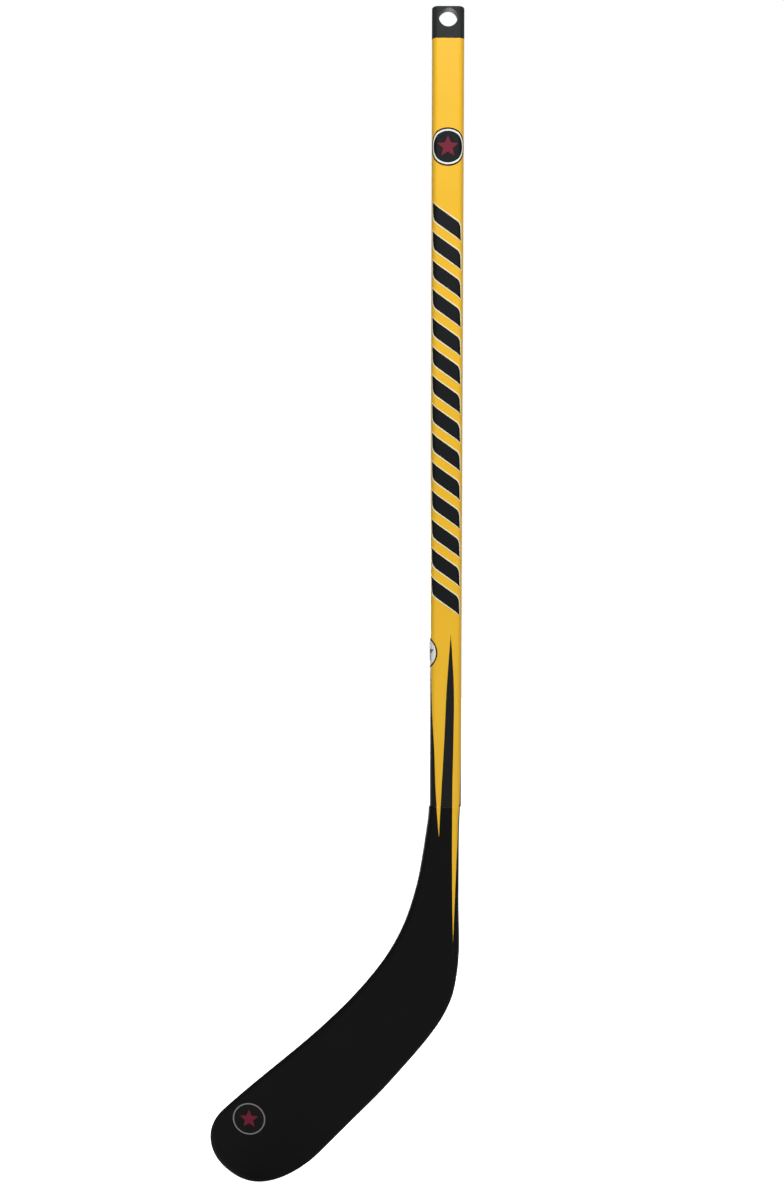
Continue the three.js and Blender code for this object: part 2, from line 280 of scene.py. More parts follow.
# %% A point's place on the chart
def chart_place(tree, side_push):
    """A point's place across and its height, each 0 to 1. side_push is how much of the depth is added."""
    place = add_node(tree, "ShaderNodeTexCoord").outputs["Object"]
    to_mm = (1 / MM, 1 / MM, 1 / MM)
    in_mm = add_node(tree, "ShaderNodeVectorMath", {0: place, 1: to_mm}, operation="MULTIPLY")
    x, y, z = add_node(tree, "ShaderNodeSeparateXYZ", {0: in_mm}).outputs
    half_depth = SHAFT_DEPTH / MM / 2
    from_middle = add_node(tree, "ShaderNodeMath", {0: y}, operation="ABSOLUTE")
    round_side = {0: from_middle, 1: -side_push, 2: side_push * half_depth}
    pushed = add_node(tree, "ShaderNodeMath", round_side, operation="MULTIPLY_ADD")
    side = add_node(tree, "ShaderNodeMath", {0: x}, operation="SIGN")
    across = add_node(tree, "ShaderNodeMath", {0: side, 1: pushed, 2: x}, operation="MULTIPLY_ADD")
    across_range = {"Value": across, "From Min": -CHART_REACH, "From Max": CHART_REACH}
    height_range = {"Value": z, "From Min": CHART_LOW, "From Max": CHART_HIGH}
    sideways = add_node(tree, "ShaderNodeMapRange", across_range)
    height = add_node(tree, "ShaderNodeMapRange", height_range)
    return sideways, height


print("chart, mm:", 2 * CHART_REACH, "wide and", CHART_HIGH - CHART_LOW, "high")

# %% [markdown]
# ## Where the black is
#
# Each edge becomes one Float Curve node that gives the edge's place across at the point's height. A point is
# then on the black side of the edge or it isn't, which a Math node tells with 1 or 0. The centre spike lies
# between two edges, so its two answers are multiplied. The strips and the spike are joined with a maximum.


# %% Where the black is
def black_share(tree, side_push):
    """1 where the black is, 0 where the yellow is."""
    sideways, height = chart_place(tree, side_push)
    past = {}
    for name, points in SPIKE_EDGES.items():
        edge = add_node(tree, "ShaderNodeFloatCurve", {"Value": height})
        curve = edge.mapping.curves[0]
        placed = []
        for z, x in sorted(points):
            placed.append(((z - CHART_LOW) / (CHART_HIGH - CHART_LOW), 0.5 + x / (2 * CHART_REACH)))
        curve.points[0].location = placed[0]
        curve.points[1].location = placed[-1]
        for point in placed[1:-1]:
            curve.points.new(*point)
        edge.mapping.extend = "HORIZONTAL"
        edge.mapping.update()
        past[name] = add_node(tree, "ShaderNodeMath", {0: sideways, 1: edge}, operation=BLACK_IS[name])
    between = {0: past["centre_left"], 1: past["centre_right"]}
    centre = add_node(tree, "ShaderNodeMath", between, operation="MULTIPLY")
    outer = {0: past["left_strip"], 1: past["right_strip"]}
    strips = add_node(tree, "ShaderNodeMath", outer, operation="MAXIMUM")
    return add_node(tree, "ShaderNodeMath", {0: strips, 1: centre}, operation="MAXIMUM")


print("edges with a black side:", len(BLACK_IS))

# %% [markdown]
# ## Sprayed lacquer
#
# Lacquer goes on wet and dries with a faint orange peel, and each coat is a little thicker in one place than
# in another. So the yellow and the black each drift between two close tones, and a fine bump breaks up the
# reflections. The yellow is glossy and the black over it is satin. The blade is given less shine than the
# tube, so that it stays deep black.

# %% Sprayed lacquer
YELLOW = ("#f6bf2e", "#fbc636")
BLACK = ("#0b0b0b", "#0e0e0e")
YELLOW_ROUGHNESS, BLACK_ROUGHNESS = 0.3, 0.5
COAT_DRIFT = 18 * MM
ORANGE_PEEL = 1.6 * MM
PEEL_DEPTH = 0.02 * MM


def sprayed_lacquer(name, side_push, shine):
    """Gloss yellow under satin black: each coat is almost even, and reflections ripple a very little."""
    material, tree, shader = new_material(name, IOR=1.5, Specular_IOR_Level=shine)
    black = black_share(tree, side_push)
    place = add_node(tree, "ShaderNodeTexCoord").outputs["Object"]
    drift = add_node(tree, "ShaderNodeTexNoise", {"Vector": place, "Scale": 1 / COAT_DRIFT, "Detail": 2.0})
    tones = []
    for deep, pale in (YELLOW, BLACK):
        shades = {"Factor": drift, "A": linear(deep), "B": linear(pale)}
        tones.append(add_node(tree, "ShaderNodeMix", shades, data_type="RGBA").outputs["Result"])
    coats = {"Factor": black, "A": tones[0], "B": tones[1]}
    paint = add_node(tree, "ShaderNodeMix", coats, data_type="RGBA")
    tree.links.new(paint.outputs["Result"], shader.inputs["Base Color"])
    sheen = {"Value": black, "To Min": YELLOW_ROUGHNESS, "To Max": BLACK_ROUGHNESS}
    gloss = add_node(tree, "ShaderNodeMapRange", sheen)
    tree.links.new(gloss.outputs[0], shader.inputs["Roughness"])
    peel = add_node(tree, "ShaderNodeTexNoise", {"Vector": place, "Scale": 1 / ORANGE_PEEL, "Detail": 1.0})
    dents = add_node(tree, "ShaderNodeBump", {"Height": peel, "Strength": 0.25, "Distance": PEEL_DEPTH})
    tree.links.new(dents.outputs[0], shader.inputs["Normal"])
    return material


tube_lacquer = sprayed_lacquer("sprayed_lacquer_tube", side_push=0.9, shine=0.3)
blade_lacquer = sprayed_lacquer("sprayed_lacquer_blade", side_push=0.0, shine=0.12)
print("lacquers:", tube_lacquer.name, blade_lacquer.name)

# %% [markdown]
# ## The shaft
#
# The real shaft is a laminate tube with flat faces and rounded corners, moulded round a mandrel, sanded and
# sprayed. It could be swept along a line, but a block is quicker: its four long edges are rounded, and that
# is the section. The corners reach further round the side than across the face, and a bevel is always even,
# so the block is bevelled while it is still too thin and is then stretched to its depth.

# %% A rounded bar
JOINT_GAP = 0.06 * MM
NECK_TOP = -358.9 * MM
CORNER_SEGMENTS = 14


def rounded_bar(high, low):
    """A bar with the shaft's section, from height low to height high."""
    stretch = CORNER_Y / CORNER_X
    bm = bmesh.new()
    bmesh.ops.create_cube(bm, size=1)
    bmesh.ops.scale(bm, vec=(BUTT_WIDTH, SHAFT_DEPTH / stretch, high - low), verts=bm.verts)
    bmesh.ops.translate(bm, vec=(0, 0, (high + low) / 2), verts=bm.verts)
    upright = [e for e in bm.edges if abs(e.verts[0].co.z - e.verts[1].co.z) > (high - low) / 2]
    bmesh.ops.bevel(
        bm,
        geom=upright,
        offset=CORNER_X,
        segments=CORNER_SEGMENTS,
        profile=0.5,
        affect="EDGES",
        material=-1,
    )
    bmesh.ops.scale(bm, vec=(1, stretch, 1), verts=bm.verts)
    return bm


shaft = rounded_bar(tube_top - JOINT_GAP, NECK_TOP)
print("bar for the shaft, faces:", len(shaft.faces))

# %% [markdown]
# ## Taper and crown
#
# The shaft narrows a little towards the blade, and sanding never leaves a true flat, so the wide faces are
# crowned by a tenth of a millimetre, which the light shows. A block has no points in the middle of its faces
# to move, so lines are cut down them first. Then every point is drawn in and lowered by formula. The films
# will use the same two rules, so they lie close.

# %% Taper and crown
X_AXIS, Y_AXIS, Z_AXIS = Vector((1, 0, 0)), Vector((0, 1, 0)), Vector((0, 0, 1))
FACE_STRIPS = 8
FACING = 0.9
flat = BUTT_WIDTH / 2 - CORNER_X


def cut_across(bm, spots, axis):
    """Adds an edge loop through the whole mesh at each spot along an axis."""
    for spot in spots:
        everything = [*bm.verts, *bm.edges, *bm.faces]
        bmesh.ops.bisect_plane(bm, geom=everything, dist=1e-7, plane_co=axis * spot, plane_no=axis)


def spread(reach, count, middle=0.0):
    """The places that divide a width of reach either side of the middle into count equal strips."""
    return [middle + reach * (2 * i / count - 1) for i in range(1, count)]


def width_at(z):
    return BUTT_WIDTH + (TIP_WIDTH - BUTT_WIDTH) * (tube_top - z) / (tube_top - tube_tip)


def crowned(point):
    """Lowers a wide face towards its long edges, so that its middle stands proud by the crown."""
    fall = CROWN / (SHAFT_DEPTH / 2) * min((point.x / flat) ** 2, 1)
    return Vector((point.x, point.y * (1 - fall), point.z))


ends = [f for f in shaft.faces if abs(f.normal.z) > FACING]
bmesh.ops.delete(shaft, geom=ends, context="FACES_ONLY")
cut_across(shaft, spread(flat, FACE_STRIPS), X_AXIS)
for vert in shaft.verts:
    vert.co.x *= width_at(vert.co.z) / BUTT_WIDTH
    vert.co = crowned(vert.co)
print("shaft width, mm:", round(width_at(tube_top) / MM, 2), "to", round(width_at(NECK_TOP) / MM, 2))

# %% [markdown]
# ## From mesh to piece
#
# One function turns a finished bmesh into a piece that rides on the stick and stands in for pieces of the
# design. A Solidify modifier gives the tube its wall, which is simpler than modelling an inside. The cap end
# is sawn and its edge is broken with a file, so a small bevel runs round it. The lower end gets none, because
# the paint fills that joint.

# %% The shaft
TUBE_RIM = 0.4 * MM
RIM_SEGMENTS = 3
SHARP = math.radians(40)


def make_piece(name, bm, materials, stands_for, smooth_angle=35):
    mesh = bpy.data.meshes.new(name)
    bm.to_mesh(mesh)
    bm.free()
    for material in materials:
        mesh.materials.append(material)
    mesh.polygons.foreach_set("use_smooth", [True] * len(mesh.polygons))
    mesh.set_sharp_from_angle(angle=math.radians(smooth_angle))
    piece = bpy.data.objects.new(name, mesh)
    bpy.context.scene.collection.objects.link(piece)
    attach(piece, "root")
    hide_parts(*stands_for)
    print(name, "has", len(mesh.polygons), "faces")
    return piece


def give_wall(piece):
    wall = piece.modifiers.new("wall", "SOLIDIFY")
    wall.thickness = WALL
    wall.offset = -1


def finish_edges(piece, width, group=""):
    """Rounds the sharp edges, or those of one group of points, and evens out the shading."""
    rim = piece.modifiers.new("rim", "BEVEL")
    rim.width = width
    rim.segments = RIM_SEGMENTS
    rim.limit_method = "VGROUP" if group else "ANGLE"
    rim.angle_limit = SHARP
    rim.vertex_group = group
    shading = piece.modifiers.new("shading", "WEIGHTED_NORMAL")
    shading.keep_sharp = True


shaft_piece = make_piece("shaft", shaft, [tube_lacquer], ["shaft_tube"])
give_wall(shaft_piece)
cap_end = shaft_piece.vertex_groups.new(name="cap_end")
cap_end.add([v.index for v in shaft_piece.data.vertices if v.co.z > tube_top - MM], 1.0, "REPLACE")
finish_edges(shaft_piece, TUBE_RIM, group="cap_end")

# %% [markdown]
# ## Moulded plastic
#
# The cap is moulded from black ABS in a tool with an eroded surface, which hides scuffs. To the eye that is a
# dull charcoal that never shines, with a fine pebble in it. The real pebble is near 0.1 mm, too fine to see
# from here, so it is drawn at 0.45 mm. Cells of a Voronoi texture make it, used only as a bump.

# %% Moulded ABS
GRAIN = 0.45 * MM
GRAIN_DEPTH = 0.03 * MM
PLASTIC_CLOUD = 6 * MM


def moulded_abs(name):
    """Moulded ABS: charcoal, dull, almost even, with a fine pebble."""
    material, tree, shader = new_material(name, Roughness=0.6, Specular_IOR_Level=0.2)
    place = add_node(tree, "ShaderNodeTexCoord").outputs["Object"]
    grain = add_node(tree, "ShaderNodeTexVoronoi", {"Vector": place, "Scale": 1 / GRAIN})
    cloud = add_node(tree, "ShaderNodeTexNoise", {"Vector": place, "Scale": 1 / PLASTIC_CLOUD, "Detail": 3.0})
    shades = {"Factor": cloud, "A": linear("#222624"), "B": linear("#2b302d")}
    tone = add_node(tree, "ShaderNodeMix", shades, data_type="RGBA")
    tree.links.new(tone.outputs["Result"], shader.inputs["Base Color"])
    pebbles = {"Height": grain.outputs["Distance"], "Strength": 0.3, "Distance": GRAIN_DEPTH}
    pebble = add_node(tree, "ShaderNodeBump", pebbles)
    tree.links.new(pebble.outputs[0], shader.inputs["Normal"])
    return material


cap_plastic = moulded_abs("moulded_abs")
print("plastic:", cap_plastic.name)

# %% [markdown]
# ## The end cap: its head
#
# The cap is one moulding: a head flush with the shaft, a round hole to hang the stick by, and a hollow plug
# that is glued into the tube. The head is a rounded bar again, short this time, and its top rim is rounded
# with a bevel while the mesh is still simple.

# %% The cap's head
CAP_ROUND = 0.9 * MM
CAP_ROUND_SEGMENTS = 5

cap = rounded_bar(0, -CAP_HEIGHT + JOINT_GAP)
top_rim = [e for e in cap.edges if all(v.co.z > -1e-6 for v in e.verts)]
bmesh.ops.bevel(
    cap,
    geom=top_rim,
    offset=CAP_ROUND,
    segments=CAP_ROUND_SEGMENTS,
    profile=0.5,
    affect="EDGES",
    material=-1,
)
print("cap head, faces:", len(cap.faces))

# %% [markdown]
# ## The end cap: its plug
#
# A plug grows out of the head's underside in four steps, all alike: extrude the end, draw it in or not, and
# move it or not. In, down, in again, and back up inside gives a hollow plug with a roof. An inset would draw
# the outline in too, but it folds over itself in corners as tight as these, and scaling doesn't.

# %% The cap's plug
PLUG_LENGTH = cap_high.z - cap_low.z - CAP_HEIGHT
PLUG_INSET = 2.2 * MM
PLUG_ROOF = 2 * MM


def step_in(bm, faces, inset, move):
    """Extrudes the faces at the cap's end, draws their outline in from the one outside it, and moves them."""
    low = min(v.co.x for f in faces for v in f.verts)
    deep = min(v.co.y for f in faces for v in f.verts)
    stepped = bmesh.ops.extrude_face_region(bm, geom=faces)["geom"]
    bmesh.ops.delete(bm, geom=faces, context="FACES")
    rim = [g for g in stepped if isinstance(g, bmesh.types.BMVert)]
    bmesh.ops.scale(bm, vec=((low + inset) / low, (deep + inset) / deep, 1), verts=rim)
    bmesh.ops.translate(bm, vec=Z_AXIS * move, verts=rim)
    return [g for g in stepped if isinstance(g, bmesh.types.BMFace)]


underside = [f for f in cap.faces if f.normal.z < -FACING]
plug_root = step_in(cap, underside, PLUG_INSET, 0)
plug_end = step_in(cap, plug_root, 0, -PLUG_LENGTH)
pocket_mouth = step_in(cap, plug_end, WALL, 0)
step_in(cap, pocket_mouth, 0, PLUG_LENGTH - PLUG_ROOF)
bmesh.ops.recalc_face_normals(cap, faces=cap.faces)
print("plug, mm long:", round(PLUG_LENGTH / MM, 1))

# %% [markdown]
# ## The end cap: its hang hole
#
# The hole goes through flat and crowned faces alike, which is what a Boolean modifier is for. The cutter is a
# plain cylinder laid along the depth. The result is taken as the cap's mesh at once and the cutter is thrown
# away, so that the bevel that follows rounds the hole's rims too.

# %% The cap's hang hole
HOLE_RADIUS, HOLE_Z = 4.2 * MM, -5.1 * MM
HOLE_SEGMENTS = 64
CAP_RIM = 0.3 * MM

borer = bmesh.new()
drill = {"radius1": HOLE_RADIUS, "radius2": HOLE_RADIUS, "depth": 2 * SHAFT_DEPTH}
bmesh.ops.create_cone(borer, cap_ends=True, segments=HOLE_SEGMENTS, **drill)
bmesh.ops.rotate(borer, matrix=Matrix.Rotation(math.pi / 2, 3, "X"), verts=borer.verts)
bmesh.ops.translate(borer, vec=Z_AXIS * HOLE_Z, verts=borer.verts)
borer_mesh = bpy.data.meshes.new("borer")
borer.to_mesh(borer_mesh)
borer.free()
borer_tool = bpy.data.objects.new("borer", borer_mesh)

cap_piece = make_piece("cap", cap, [cap_plastic], ["end_cap"])
hole = cap_piece.modifiers.new("hole", "BOOLEAN")
hole.object = borer_tool
hole.solver = "EXACT"
bored = bpy.data.meshes.new_from_object(cap_piece.evaluated_get(bpy.context.evaluated_depsgraph_get()))
cap_piece.modifiers.clear()
cap_piece.data = bored
bored.name = "cap"
bpy.data.objects.remove(borer_tool)
finish_edges(cap_piece, CAP_RIM)
print("cap faces after boring:", len(bored.polygons))

# %% [markdown]
# ## The blade: its two edges
#
# The blade is laid up in two moulded halves that meet along the middle of its edge. Its flat outline is two
# long curves, one along the top and one along the bottom, from the neck to the toe. A few points hold each,
# as x and height in millimetres, and a smooth curve is drawn through them. Points are easier to shift than
# the handles of a drawn curve when the outline has to be corrected.

# %% The blade's edges
EDGE_TOP = [(-7.4, -358.9), (-8.4, -368.3), (-12.9, -394.5), (-20.7, -416.6),
            (-33.9, -436.2), (-55.5, -458.8), (-91.3, -490.3), (-116.3, -514.4)]  # fmt: skip
EDGE_BOTTOM = [(6.7, -358.9), (6.2, -370.5), (6.1, -399.6), (5.9, -431.7),
               (-1.0, -454.0), (-23.4, -482.1), (-45.6, -505.7), (-79.7, -542.0)]  # fmt: skip


def along_edge(points, share):
    """A smooth curve through the points, by the Catmull-Rom rule, with its ends carried straight on."""
    knots = [Vector(p) * MM for p in points]
    knots = [2 * knots[0] - knots[1], *knots, 2 * knots[-1] - knots[-2]]
    step = min(int(share * (len(points) - 1)), len(points) - 2)
    t = share * (len(points) - 1) - step
    a, b, c, d = knots[step : step + 4]
    return (2 * b + (c - a) * t + (2 * a - 5 * b + 4 * c - d) * t**2 + (3 * b - a - 3 * c + d) * t**3) / 2


neck_width = (along_edge(EDGE_TOP, 0) - along_edge(EDGE_BOTTOM, 0)).length
print("neck width, mm:", round(neck_width / MM, 1))

# %% [markdown]
# ## The blade: its thickness and its curve
#
# The neck is as thick as the shaft. The blade thins to about half of that just past the heel and a little
# more towards the toe, and the toe curves back. Both depend on one thing, how far past the heel a point lies,
# measured along the blade. The change from neck to blade is eased in and out, as a mould's surface would be.

# %% Thickness and curve
HEEL = Vector((5, -440)) * MM
TO_TOE = Vector((-0.73, -0.683)).normalized()
BLADE_LENGTH = 135 * MM
NECK_HALF, BLADE_HALF, TOE_HALF = SHAFT_DEPTH / 2, 2.6 * MM, 2.0 * MM
NECK_FROM, NECK_TO = -45 * MM, 12 * MM
CURVE, CURVE_START = 24 * MM, 15 * MM


def past_heel(spot):
    return (spot - HEEL).dot(TO_TOE)


def half_thickness(spot):
    past = past_heel(spot)
    share = min(max((past - NECK_FROM) / (NECK_TO - NECK_FROM), 0), 1)
    thinned = share * share * (3 - 2 * share)
    thin = BLADE_HALF + (TOE_HALF - BLADE_HALF) * min(max(past / BLADE_LENGTH, 0), 1)
    return NECK_HALF + (thin - NECK_HALF) * thinned


def bend(spot):
    return CURVE * max((past_heel(spot) - CURVE_START) / (BLADE_LENGTH - CURVE_START), 0) ** 2


toe = HEEL + TO_TOE * BLADE_LENGTH
print("toe, mm thick and back:", round(2 * half_thickness(toe) / MM, 1), round(bend(toe) / MM, 1))

# %% [markdown]
# ## The blade: a point of it
#
# A point of the blade is given by two shares: how far along from neck to toe, and how far from the bottom
# edge (-1) to the top edge (1). Between the edge curves that gives its place in the flat. At the toe the
# blade stops short towards both edges, by a rounded square's curve, which makes the round toe. Near any edge
# the thickness falls away in a quarter round.

# %% A point of the blade
BLADE_RUN = 205 * MM
TOE_ROUND, TOE_POWER = 0.102, 2.23
EDGE_ROUND = 2.2 * MM
EDGE_FLAT = 0.15 * MM
ROOM_POWER = 4
TINY = 1e-9


def blade_point(share, side):
    """Where a point lies in the blade's flat pattern, and half the blade's thickness there."""
    corner = (1 - abs(side) ** TOE_POWER) ** (1 / TOE_POWER)
    reach = 1 - TOE_ROUND * (1 - corner)
    top, bottom = along_edge(EDGE_TOP, share * reach), along_edge(EDGE_BOTTOM, share * reach)
    spot = bottom.lerp(top, (1 + side) / 2)
    side_room = max((1 - abs(side)) * (top - bottom).length / 2, TINY)
    toe_room = max((1 - share) * reach * BLADE_RUN, TINY)
    room = (side_room**-ROOM_POWER + toe_room**-ROOM_POWER) ** (-1 / ROOM_POWER)
    full = half_thickness(spot)
    rounded = min(CORNER_Y, full - EDGE_FLAT)
    out = 1 - min(room, EDGE_ROUND) / EDGE_ROUND
    return spot, full - rounded * (1 - math.sqrt(1 - out**2))


print("middle of the toe, mm:", [round(v / MM, 1) for v in blade_point(1, 0)[0]])

# %% [markdown]
# ## The blade: its two halves
#
# A grid is the natural start for such a form: its two directions become the two shares. Its points are drawn
# together towards the edges, where the shape turns fastest, and then each is laid in its place. The border
# is extruded down to the parting line, and Solidify gives the laminate its wall. One half is made twice, with
# the thickness to the front or to the back.

# %% The two half shells
PARTING = 0.05 * MM
ALONG, ACROSS = 150, 56
GRID_RIM = 0.9999
BACKWARDS = {"front": -1, "back": 1}


def blade_half(direction):
    bm = bmesh.new()
    bmesh.ops.create_grid(bm, x_segments=ALONG, y_segments=ACROSS, size=1)
    border = {v for v in bm.verts if v.co.x > GRID_RIM or abs(v.co.y) > GRID_RIM}
    border_edges = [e for e in bm.edges if e.is_boundary and border.issuperset(e.verts)]
    for vert in bm.verts:
        share = math.sin((vert.co.x + 1) / 2 * math.pi / 2)
        side = math.sin(vert.co.y * math.pi / 2)
        spot, half = blade_point(share, side)
        vert.co = (spot.x, bend(spot) + direction * half, spot.y)
    lip = bmesh.ops.extrude_edge_only(bm, edges=border_edges)["geom"]
    for vert in (g for g in lip if isinstance(g, bmesh.types.BMVert)):
        vert.co.y = bend(vert.co.xz) + direction * PARTING
    bmesh.ops.recalc_face_normals(bm, faces=bm.faces)
    if sum(f.normal.y * f.calc_area() for f in bm.faces) * direction < 0:
        bmesh.ops.reverse_faces(bm, faces=bm.faces)
    return bm


for face_name, direction in BACKWARDS.items():
    stands_for = [f"blade_shell_{face_name}"]
    half = make_piece(
        f"blade_{face_name}",
        blade_half(direction),
        [blade_lacquer],
        stands_for,
        smooth_angle=60,
    )
    give_wall(half)

# %% [markdown]
# ## Printed vinyl
#
# The graphics are screen printed on thin vinyl film and rubbed down on the lacquer. Screen ink is solid and
# even, with a soft gloss, and the mesh it was pushed through leaves a slight waviness. So each ink drifts
# very little between its full tone and a thinner one, and the same noise gives a shallow bump.

# %% Inks
PRINT_MOTTLE = 1.2 * MM
PRINT_WAVE = 0.01 * MM
THIN_INK, FILM_GREY = 0.88, 0.004


def printed_vinyl(name, code):
    """Screen ink on vinyl: solid and even, with a soft gloss and a slight waviness from the print mesh."""
    material, tree, shader = new_material(name, Roughness=0.45, Specular_IOR_Level=0.15)
    place = add_node(tree, "ShaderNodeTexCoord").outputs["Object"]
    mottle = add_node(tree, "ShaderNodeTexNoise", {"Vector": place, "Scale": 1 / PRINT_MOTTLE, "Detail": 2.0})
    ink = linear(code)
    thin = (*(THIN_INK * c + FILM_GREY for c in ink[:3]), 1.0)
    tone = add_node(tree, "ShaderNodeMix", {"Factor": mottle, "A": ink, "B": thin}, data_type="RGBA")
    tree.links.new(tone.outputs["Result"], shader.inputs["Base Color"])
    wave = add_node(tree, "ShaderNodeBump", {"Height": mottle, "Strength": 0.2, "Distance": PRINT_WAVE})
    tree.links.new(wave.outputs[0], shader.inputs["Normal"])
    return material


ink_black = printed_vinyl("printed_vinyl_black", "#111416")
ink_deep_black = printed_vinyl("printed_vinyl_deep_black", "#070808")
ink_white = printed_vinyl("printed_vinyl_white", "#f8f6f0")
ink_cream = printed_vinyl("printed_vinyl_cream", "#fbf0c8")
ink_red = printed_vinyl("printed_vinyl_red", "#7d2036")
ink_grey = printed_vinyl("printed_vinyl_grey", "#8f8b89")
ink_blue = printed_vinyl("printed_vinyl_blue", "#6f7184")
print("inks:", [m.name for m in bpy.data.materials if m.name.startswith("printed_vinyl")])

# %% [markdown]
# ## Where a film touches the stick
#
# A film follows the shaft round its corners without stretching. So a distance across the flat film is
# measured off round the shaft's section: along the face, round the quarter ellipse of the corner, and on
# along the narrow side. The blade's films lie on a face that hardly turns, so they keep their flat shape and
# only take its thickness and its curve.

# %% Places on the shaft and on the blade
CORNER_ARC = math.pi / 2 * math.sqrt((CORNER_X**2 + CORNER_Y**2) / 2)


def on_shaft(across, z, lift):
    """The place `lift` above the lacquer, `across` round the section from the middle of the front face."""
    flat_x = width_at(z) / 2 - CORNER_X
    flat_y = SHAFT_DEPTH / 2 - CORNER_Y
    far = abs(across)
    turn = min(max((far - flat_x) / CORNER_ARC, 0), 1) * math.pi / 2
    x = min(far, flat_x) + (CORNER_X + lift) * math.sin(turn)
    y = -flat_y - (CORNER_Y + lift) * math.cos(turn) + max(far - flat_x - CORNER_ARC, 0)
    return crowned(Vector((math.copysign(x, across), y, z)))


def on_side(across, z, lift):
    """The same, measured from the middle of the narrow side that faces the toe."""
    half_round = width_at(z) / 2 - CORNER_X + CORNER_ARC + SHAFT_DEPTH / 2 - CORNER_Y
    spot = on_shaft(abs(across) - half_round, z, lift)
    return Vector((spot.x, math.copysign(spot.y, across), z))


def on_blade(direction):
    def lay(across, z, lift):
        spot = Vector((across, z))
        return Vector((across, bend(spot) + direction * (half_thickness(spot) + lift), z))

    return lay


print("round one corner, mm:", round(CORNER_ARC / MM, 2))

# %% [markdown]
# ## A round badge, drawn flat
#
# Each badge is drawn flat, where circles are easy: a disc is inset once for each printed ring, and each ring
# takes its own ink. The mark in the middle is a plain five-pointed star, raised a little as a thick last
# coat of ink is. It is a circle of ten points with every second one pulled in.

# %% A round badge
FILM = 0.12 * MM
STAR_RISE = 1.1 * FILM
STAR_POINTS, STAR_WAIST = 5, 0.45
STAR_SLOT = 3
DISC_SEGMENTS = 96


def round_pattern(radius, rings, star_radius, spot):
    """A disc with one printed ring for each width in rings, from the rim in, and a star in the middle."""
    bm = bmesh.new()
    bmesh.ops.create_circle(bm, cap_ends=True, radius=radius, segments=DISC_SEGMENTS)
    core = bm.faces[:]
    for slot, width in enumerate(rings):
        ring = bmesh.ops.inset_region(bm, faces=core, thickness=width, use_boundary=True)["faces"]
        for face in ring:
            face.material_index = slot
        for face in core:
            face.material_index = slot + 1
    outline = {"radius": star_radius, "segments": 2 * STAR_POINTS}
    star = bmesh.ops.create_circle(bm, cap_ends=True, cap_tris=True, **outline)["verts"]
    tips = [v for v in star if v.co.length > star_radius / 2]
    tips.sort(key=lambda v: math.atan2(v.co.y, v.co.x))
    for notch in tips[::2]:
        notch.co *= STAR_WAIST
    for face in {f for v in star for f in v.link_faces}:
        face.material_index = STAR_SLOT
    bmesh.ops.translate(bm, vec=Z_AXIS * STAR_RISE, verts=star)
    bmesh.ops.rotate(bm, matrix=Matrix.Rotation(math.pi / 2, 3, "X"), verts=bm.verts)
    bmesh.ops.scale(bm, vec=(1, -1, 1), verts=bm.verts)
    bmesh.ops.translate(bm, vec=(spot[0], 0, spot[1]), verts=bm.verts)
    return bm


print("film thickness, mm:", round(FILM / MM, 2))

# %% [markdown]
# ## Laying a film down
#
# The flat pattern is cut into narrow strips, so that it can follow a curve, and extruded to the film's
# thickness. Then one of the functions above gives each point its place. A Shrinkwrap modifier could press the
# film on too, but it squeezes circles where the surface turns. The shaft's films on the back are those of the
# front, turned half round the stick.

# %% Laying a film down
FILM_LIFT = 0.02 * MM


def lay_film(bm, place, cuts):
    """Thickens a flat pattern, drawn in the XZ plane with +Y as its printed side, and lays it down."""
    cut_across(bm, cuts, X_AXIS)
    printed = bmesh.ops.extrude_face_region(bm, geom=bm.faces[:], use_keep_orig=True)["geom"]
    upper = [g for g in printed if isinstance(g, bmesh.types.BMVert)]
    bmesh.ops.translate(bm, vec=Y_AXIS * FILM, verts=upper)
    for vert in bm.verts:
        vert.co = place(vert.co.x, vert.co.z, vert.co.y + FILM_LIFT)
    bmesh.ops.recalc_face_normals(bm, faces=bm.faces[:])
    return bm


def facing(face_name, bm):
    """A film of the shaft as it is for the front, or turned half round the stick for the back."""
    if face_name == "back":
        bmesh.ops.rotate(bm, matrix=Matrix.Rotation(math.pi, 3, "Z"), verts=bm.verts)
    return bm


print("room under a film, mm:", round(FILM_LIFT / MM, 2))

# %% [markdown]
# ## The badges
#
# Three kinds are printed: a large one near the butt on the wide faces, one that wraps the narrow side above
# the spikes, and one with a thin ring near the toe. Each is the same pattern with its own rings and inks.

# %% Badges
SHAFT_BADGE_RADIUS, SHAFT_BADGE_SPOT = 8.6 * MM, (0, -63.2 * MM)
SIDE_BADGE_RADIUS, SIDE_BADGE_SPOT = 6.7 * MM, (0, -290 * MM)
BLADE_BADGE_RADIUS, BLADE_BADGE_SPOT = 7.6 * MM, (-88.4 * MM, -502.4 * MM)
SHAFT_STRIPS, BLADE_STRIPS = 32, 12

for face_name in BACKWARDS:
    badge = round_pattern(SHAFT_BADGE_RADIUS, [0.7 * MM, 0.8 * MM], 5.0 * MM, SHAFT_BADGE_SPOT)
    badge = facing(face_name, lay_film(badge, on_shaft, spread(SHAFT_BADGE_RADIUS, SHAFT_STRIPS)))
    inks = [ink_black, ink_white, ink_black, ink_red]
    make_piece(f"printed_badge_{face_name}", badge, inks, [f"shaft_badge_{face_name}"])

badge = round_pattern(SIDE_BADGE_RADIUS, [0.75 * MM, 0.3 * MM], 4.9 * MM, SIDE_BADGE_SPOT)
badge = lay_film(badge, on_side, spread(SIDE_BADGE_RADIUS, SHAFT_STRIPS))
inks = [ink_black, ink_white, ink_white, ink_blue]
make_piece("printed_side_badge", badge, inks, ["side_badge"])

